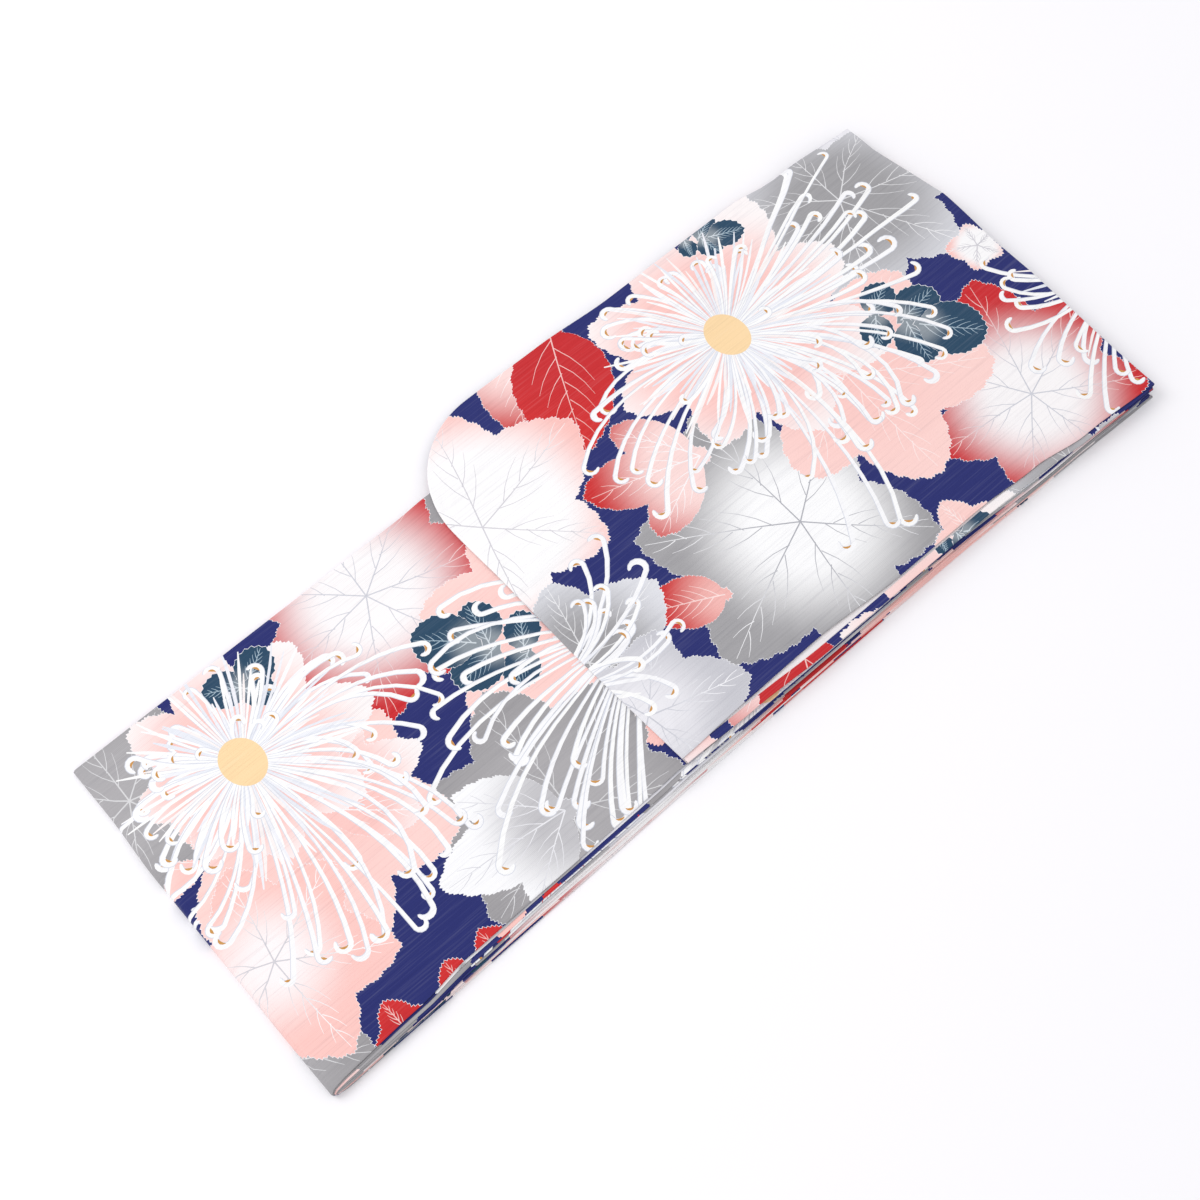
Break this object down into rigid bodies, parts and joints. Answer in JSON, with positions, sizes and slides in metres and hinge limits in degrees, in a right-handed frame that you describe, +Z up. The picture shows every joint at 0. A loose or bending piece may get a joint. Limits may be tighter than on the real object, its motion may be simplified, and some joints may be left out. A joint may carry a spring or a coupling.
{
  "type": "folded yukata robe",
  "caption": "Full-length cotton yukata robe folded flat, one square sleeve laid over the body, its side-seam layers stepping back along one long edge.",
  "frame": {"origin": "on the table, below the middle of the folded robe's outer box", "axes": "+X along the folded length, from the fold at mid length to the shoulder line; +Y across it, from the stepped side-seam edges to the centre-back seam and the sleeves' wrist edges; +Z up from the table"},
  "size_m": [0.8334, 0.3562, 0.0163],
  "materials": {
    "left_sleeve_cotton": "printed plain-weave slub cotton, matt",
    "right_sleeve_cotton": "printed plain-weave slub cotton, matt",
    "left_back_cotton": "printed plain-weave slub cotton, matt",
    "right_back_cotton": "printed plain-weave slub cotton, matt",
    "fronts_cotton": "printed plain-weave slub cotton, matt",
    "collar_cotton": "printed plain-weave slub cotton, matt"
  },
  "bodies": {
    "root": {"left_sleeve": "left_sleeve_cotton", "right_sleeve": "right_sleeve_cotton", "left_back": "left_back_cotton", "right_back": "right_back_cotton", "folded_fronts": "fronts_cotton", "collar": "collar_cotton"}
  },
  "joints": []
}
